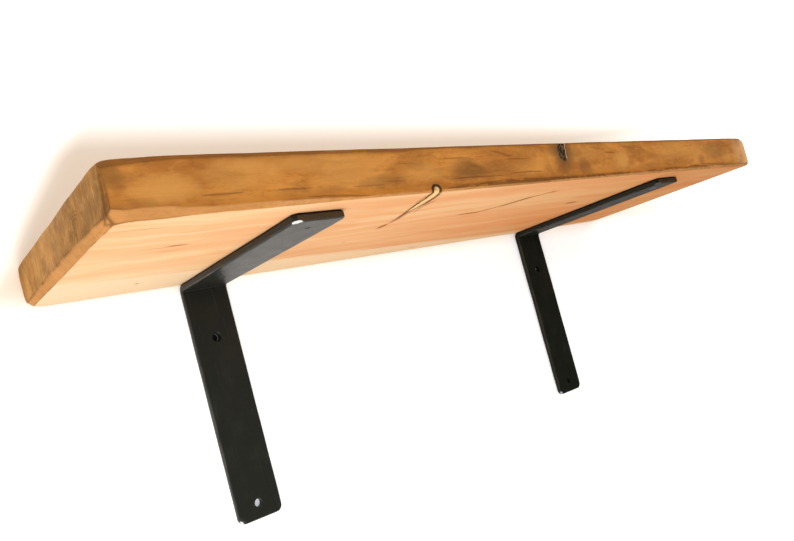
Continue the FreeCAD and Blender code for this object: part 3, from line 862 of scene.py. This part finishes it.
def lathe(outline, place, direction, segments=64):
    """A closed turned cutter from (radius, distance) pairs, in mm, as an object in metres."""
    direction = Vector(direction)
    side = direction.orthogonal().normalized()
    other = direction.cross(side)
    points = []
    for radius, distance in outline:
        for k in range(segments):
            angle = 2 * math.pi * k / segments
            arm = side * math.cos(angle) + other * math.sin(angle)
            points.append(Vector(place) + (arm * radius + direction * distance) * MM)
    faces = [list(range(segments))[::-1]]
    for row in range(len(outline) - 1):
        for k in range(segments):
            following = (k + 1) % segments
            low, high = row * segments, (row + 1) * segments
            faces.append([low + k, low + following, high + following, high + k])
    faces.append([(len(outline) - 1) * segments + k for k in range(segments)])
    mesh = bpy.data.meshes.new("cutter")
    mesh.from_pydata(points, [], faces)
    return add_object("cutter", mesh)


def hole_cutter(bar, place, direction, width, mouth):
    """A drill with a 90 degree countersink, started 2 mm before the face that it enters."""
    lead = 2.0
    cone = (mouth - width) / 2
    outline = [(mouth / 2 + lead, -lead), (mouth / 2, 0), (width / 2, cone), (width / 2, bar.thick + lead)]
    return lathe(outline, bar.origin + np.array(place) * MM, direction)


def cut_holes(piece, cutters):
    for cutter in cutters:
        tool = piece.modifiers.new("hole", "BOOLEAN")
        tool.operation = "DIFFERENCE"
        tool.solver = "EXACT"
        tool.object = cutter
    bpy.context.view_layer.update()
    cut_mesh = bpy.data.meshes.new_from_object(piece.evaluated_get(bpy.context.evaluated_depsgraph_get()))
    piece.modifiers.clear()
    piece.data = cut_mesh
    for cutter in cutters:
        bpy.data.objects.remove(cutter)


def make_bracket(node, name, polish, gloss, seed):
    bar = Bar(node)
    material = steel_material(name + "_steel", bar, polish, gloss)
    flat, quads = box_shell([
        graded(bar.width, 0.35, 1.8, 4),
        graded(bar.length, 0.4, 1.6, 7),
        graded(bar.thick, 0.3, 0.8, 1.2),
    ])
    shape_bar(flat, bar, seed)
    points = bar.bend(flat) * MM + bar.origin
    piece = make_object(name, points, quads, {}, material)
    middle = bar.width / 2
    cutters = [hole_cutter(bar, (middle, -bar.thick, -drop), (0, 1, 0), WALL_HOLE_WIDTH, mouth)
               for drop, mouth in WALL_HOLES]
    cutters += [hole_cutter(bar, (middle, -reach, -bar.thick), (0, 0, 1), SCREW_HOLE_WIDTH, SCREW_HEAD_WIDTH)
                for reach in SCREW_PLACES]
    cut_holes(piece, cutters)
    bent = np.array([v.co for v in piece.data.vertices])
    flat = bar.unbend((bent - bar.origin) / MM)
    layer = piece.data.attributes.new("flat", "FLOAT_VECTOR", "POINT")
    layer.data.foreach_set("vector", flat.astype(np.float32).ravel())
    piece.data.shade_smooth()
    piece.data.set_sharp_from_angle(angle=math.radians(40))
    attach(piece, "root")
    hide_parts(node)


# ---------------- the steel

SCALE_BLACK, SCALE_BROWN = (0.009, 0.0098, 0.007), (0.013, 0.012, 0.008)
SCALE_GREY, SCALE_BENT = (0.014, 0.015, 0.0118), (0.009, 0.009, 0.007)
ROLLED_SIDE, RUST_CUT, WORN_EDGE = (0.028, 0.025, 0.019), (0.06, 0.038, 0.02), (0.075, 0.072, 0.06)
BARE, SCRATCH = (0.8, 0.78, 0.7), (0.06, 0.058, 0.05)
SHADOWED, FOLD_SHADE = (0.002, 0.002, 0.002), (0.004, 0.004, 0.004)
STEEL_RELIEF = 0.00012
SCREW_BLACK, SCREW_WORN = (0.01, 0.01, 0.01), (0.03, 0.027, 0.023)
SCREW_RELIEF = 0.00003


class SteelFigure:
    """Where a surface point is on the flat bar, in mm, and the noises that the steel is coloured with."""

    def __init__(self, m, bar):
        across, along, height = split(m.mark("flat", "Vector"))
        self.bar, self.at = bar, m.mm_from(bar.origin)
        self.across, self.along, self.height = across, along, height
        self.from_side = calc("MINIMUM", across, bar.width - across)
        self.from_face = calc("MINIMUM", height, bar.thick - height)
        self.from_end = calc("MINIMUM", along, bar.length - along)
        self.mottle = grain(self.at, 0.022, (1, 1, 0.6), detail=4, rough=0.55, warp=0.4)
        self.cloud = grain(self.at, 0.07, (1, 1, 0.7), detail=4, rough=0.6, offset=5)
        self.fine = grain(self.at, 1.3, detail=3, rough=0.65)


def mill_scale(fig):
    """Mottled black and brown scale, browner on the rolled sides and rusty on the cut ends."""
    bend_middle = fig.bar.bend_start + fig.bar.bend_length / 2
    return layers(
        blend(step(fig.mottle, 0.42, 0.64), SCALE_BLACK, SCALE_BROWN),
        (step(fig.cloud, 0.48, 0.74) * 0.7, SCALE_GREY),
        (step(fig.from_side, 0.35, 0.1) * 0.55, ROLLED_SIDE),
        (step(fig.from_end, 0.35, 0.1) * (0.5 + fig.cloud * 0.6), RUST_CUT),
        (step(abs(fig.along - bend_middle), 26, 2) * 0.6, SCALE_BENT))


def edge_wear(fig):
    """How far the eased edges are rubbed. Both sides of an edge are near it: add the two distances."""
    edge = calc("MINIMUM", fig.from_side + fig.from_face, fig.from_end + fig.from_face)
    return step(edge, 1.25, 0.55) * step(fig.cloud + fig.fine * 0.3, 0.44, 0.8)


def ground_corners(fig, polish):
    """How bare the metal is where a grinder took corners off, most of all at the arm's left corner."""
    across, height, cloud = fig.across, fig.height, fig.cloud
    arm_corner = across / ARM_GRIND[0] + fig.along / ARM_GRIND[1] + height / ARM_GRIND[2]
    spotty = (cloud - 0.5) * 0.3 + (fig.fine - 0.5) * 0.2
    bare = step(arm_corner + spotty, 1.1, 1.01) * step(height, 1.5, 1.0) * polish
    foot = fig.bar.length - fig.along
    foot_corner = calc("SQRT", across * across + foot * foot + height * height * 1.6)
    return calc("MAXIMUM", bare, step(foot_corner + (cloud - 0.5) * 4, 4.4, 3.0) * 0.55)


def steel_material(name, bar, polish, gloss):
    """polish is how bright the ground corner is, and gloss how much the bar's faces shine."""
    m = Material(name)
    fig = SteelFigure(m, bar)
    height, cloud = fig.height, fig.cloud
    wear, bare = edge_wear(fig), ground_corners(fig, polish)
    pits = step(grain(fig.at, 0.55, detail=2, offset=8), 0.62, 0.74)

    # The rounded edges that lie against the plank and the wall are in their own shadow.
    near_rim = step(calc("MINIMUM", fig.from_side, fig.from_end), 1.2, 0.4)
    hidden = step(height, bar.thick - 1.7, bar.thick - 0.9) * near_rim

    # Long faint scratches, and painted shade along the crease inside the bend.
    scratch = step(grain(fig.at, 0.9, (0.9, 0.035, 0.035), detail=2, offset=13), 0.665, 0.7)
    fold = bar.bend_start + bar.bend_length * 0.84
    crease = step(abs(fig.along - fold + (cloud - 0.5) * 0.8), 0.9, 0.3) * step(height, 0.8, 0.2)

    colour = layers(mill_scale(fig), (wear * 0.75, WORN_EDGE), (bare, BARE), (hidden * 0.9, SHADOWED),
                    (scratch * 0.1, SCRATCH), (crease * 0.9, FOLD_SHADE))
    m.set(Base_Color=colour, Metallic=calc("MAXIMUM", bare, wear * 0.35), Specular_IOR_Level=gloss,
          Roughness=0.3 + cloud * 0.16 + pits * 0.12 - bare * 0.12 + crease * 0.3 + hidden * 0.5)
    m.bump(fig.fine * 0.35 + cloud * 1.2 - pits * 0.6 - scratch * 0.5 - crease * 1.5, STEEL_RELIEF)
    return m.material


def screw_material():
    m = Material("black_screw")
    at = m.mm_from((0, 0, 0))
    fine = grain(at, 1.6, detail=3)
    colour = blend(step(fine, 0.42, 0.68), SCREW_BLACK, SCREW_WORN)
    m.set(Base_Color=colour, Metallic=0.4, Roughness=0.42 + fine * 0.2)
    m.bump(fine, SCREW_RELIEF)
    return m.material


def finish_screws():
    material = screw_material()
    for node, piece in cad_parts.items():
        if node.endswith("_screw"):
            for slot in piece.material_slots:
                slot.material = material


# ---------------- the room

FLOOR_DROP = 0.9
ROOM_HALF = 4.0
WALL_GAP = 0.0004
FLOOR_COLOUR, WALL_COLOUR = (0.58, 0.57, 0.555), (0.86, 0.855, 0.845)
WARM_WHITE, COOL_WHITE = (1.0, 0.8, 0.55), (0.86, 0.94, 1.0)
# HALO is the colour of a painted warm shadow on the wall close round the plank.
HALO = (0.78, 0.67, 0.55)    # the wall close round the plank, which is lit by what the waxed wood reflects
HOLE_SHADE = (0.01, 0.01, 0.01)
PAINT_ROUGHNESS, PAINT_GLOSS = 0.85, 0.15
# The wall glows with painted light away from the plank, leaving a painted warm shadow close round it. In mm
# from the plank's left lower back corner:
WASH_ABOVE = (107, 163)      # where the wash starts and is full above the plank
WASH_BELOW = (20, -16)       # and below it
WASH_RIGHT = (560, 1150)     # and to the right
WASH_SLANT = ((-23, 43), (15, 100), 30)   # to the left: a line where the wash is full, and its width

KEY_PLACE, KEY_AIM = (-0.48, -0.38, -0.5), (-0.1, -0.1, 0.12)
KEY_SIZE, KEY_POWER = 0.55, 5.5
SKY_COLOUR = (1.0, 0.985, 0.96, 1)
SKY_LOW, SKY_RISE = 0.65, 0.5    # the sky's strength below the floor's edge, and how much more it has above
SKY_BAND = (-0.55, 0.1)          # the heights between which it grows


def plane(name, corners, material):
    mesh = bpy.data.meshes.new(name)
    mesh.from_pydata(corners, [], [(0, 1, 2, 3)])
    mesh.materials.append(material)
    add_object(name, mesh)


def matt_paint(name):
    """A new matt material, and the surface point in mm."""
    m = Material(name)
    m.set(Roughness=PAINT_ROUGHNESS, Specular_IOR_Level=PAINT_GLOSS)
    return m, m.mm_from((0, 0, 0))


def uneven(at, colour):
    """The colour, with large faint clouds a little darker."""
    return blend(grain(at, 0.02), tuple(c * 0.97 for c in colour), colour)


def floor_paint():
    m, at = matt_paint("floor_paint")
    m.set(Base_Color=uneven(at, FLOOR_COLOUR))
    return m.material


def wall_wash(x, z):
    """How much painted light washes the wall round the plank, and below it, from 0 to 1."""
    (foot_x, foot_z), (top_x, top_z), width = WASH_SLANT
    run_x, run_z = Vector((top_x - foot_x, top_z - foot_z)).normalized()
    left_of = (z - foot_z) * run_x - (x - foot_x) * run_z
    beside = calc("MAXIMUM", left_of / width + 1.0, 0.0)
    above = calc("MAXIMUM", (z - WASH_ABOVE[0]) / (WASH_ABOVE[1] - WASH_ABOVE[0]), 0.0)
    around = step(distance(above, beside), 0.0, 1.0)
    return calc("MAXIMUM", around, step(x, *WASH_RIGHT) * 0.85), step(z, *WASH_BELOW)


def wall_paint(shaded_holes):
    """White paint that glows with painted light, leaving a painted warm shadow round the plank. The given
    (X, Z) places, in mm, get painted dark spots for the shade seen through the brackets' upper wall holes.
    """
    m, at = matt_paint("wall_paint")
    x, _, z = split(at)
    shown = uneven(at, WALL_COLOUR)
    open_wall = 1.0
    inner, outer = WALL_HOLE_WIDTH * 0.45, WALL_HOLE_WIDTH * 0.62
    # Painted shade: a dark spot on the wall behind each bracket's upper wall hole, where the wall also gives
    # no glow.
    for hole_x, hole_z in shaded_holes:
        away = distance(x - hole_x, z - hole_z)
        open_wall = step(away, inner, outer) * open_wall
        shown = blend(step(away, outer, inner), shown, HOLE_SHADE)
    # Painted light: away from the plank the wall glows white; close round it, it keeps the painted warm
    # shadow.
    wash, below = wall_wash(x - PLANK_LOW.x / MM, z - PLANK_LOW.z / MM)
    lit = calc("MAXIMUM", wash, below)
    glow = calc("MAXIMUM", wash * 0.67, 0.1 + below * 0.28)
    m.set(Base_Color=blend((1 - lit) * 0.9, shown, HALO),
          Emission_Color=blend(lit, WARM_WHITE, COOL_WHITE), Emission_Strength=glow * open_wall)
    hide_from_behind(m)
    return m.material


def hide_from_behind(m):
    """A sheet with this material can't be seen, and casts no shadow, from behind."""
    tree = m.tree
    back = add_node(tree, "NewGeometry").outputs["Backfacing"]
    clear = add_node(tree, "BsdfTransparent").outputs[0]
    mix = add_node(tree, "MixShader", *(Value(tree, s) for s in (back, m.shader.outputs[0], clear)))
    tree.links.new(mix.outputs[0], tree.nodes["Material Output"].inputs["Surface"])


def make_room():
    low, half = cad_bounds[0].z - FLOOR_DROP, ROOM_HALF
    wall_y = cad_bounds[1].y + WALL_GAP
    bars = [Bar(node) for node in ("left_bracket", "right_bracket")]
    # Painted dark spots on the wall behind the brackets' upper wall holes, for the shade seen through them.
    shaded_holes = [(bar.origin[X] / MM + bar.width / 2, bar.origin[Z] / MM - WALL_HOLES[0][0]) for bar in bars]
    plane("floor", [(-half, -half, low), (half, -half, low), (half, half, low), (-half, half, low)],
          floor_paint())
    plane("wall", [(-half, wall_y, low), (half, wall_y, low), (half, wall_y, half), (-half, wall_y, half)],
          wall_paint(shaded_holes))


def make_key_light():
    data = bpy.data.lights.new("low_key", "AREA")
    data.shape = "DISK"
    data.size = KEY_SIZE
    data.energy = KEY_POWER
    light = add_object("low_key", data)
    look = Vector(KEY_AIM) - Vector(KEY_PLACE)
    turn = look.to_track_quat("-Z", "Y").to_matrix().to_4x4()
    light.matrix_world = Matrix.Translation(KEY_PLACE) @ turn
    light.visible_camera = False


def make_sky():
    world = bpy.data.worlds.new("studio")
    world.use_nodes = True
    scene.world = world
    tree = world.node_tree
    sky = tree.nodes["Background"]
    sky.inputs["Color"].default_value = SKY_COLOUR
    rise = split(Value(tree, add_node(tree, "TexCoord").outputs["Generated"]))[2]
    plug(tree, SKY_LOW + step(rise, *SKY_BAND) * SKY_RISE, sky.inputs["Strength"])
    scene.view_settings.view_transform = "Standard"


make_camera()
make_room()
make_key_light()
make_sky()
make_plank(wood_material())
make_bracket("left_bracket", "left_flat_bar", polish=1.0, gloss=0.11, seed=1.3)
# The right bracket's steel is a shaded copy of the left's: its faces barely shine and its ground corner
# stays dull, as painted shade for its darker reflections.
make_bracket("right_bracket", "right_flat_bar", polish=0.12, gloss=0.005, seed=7.9)
finish_screws()
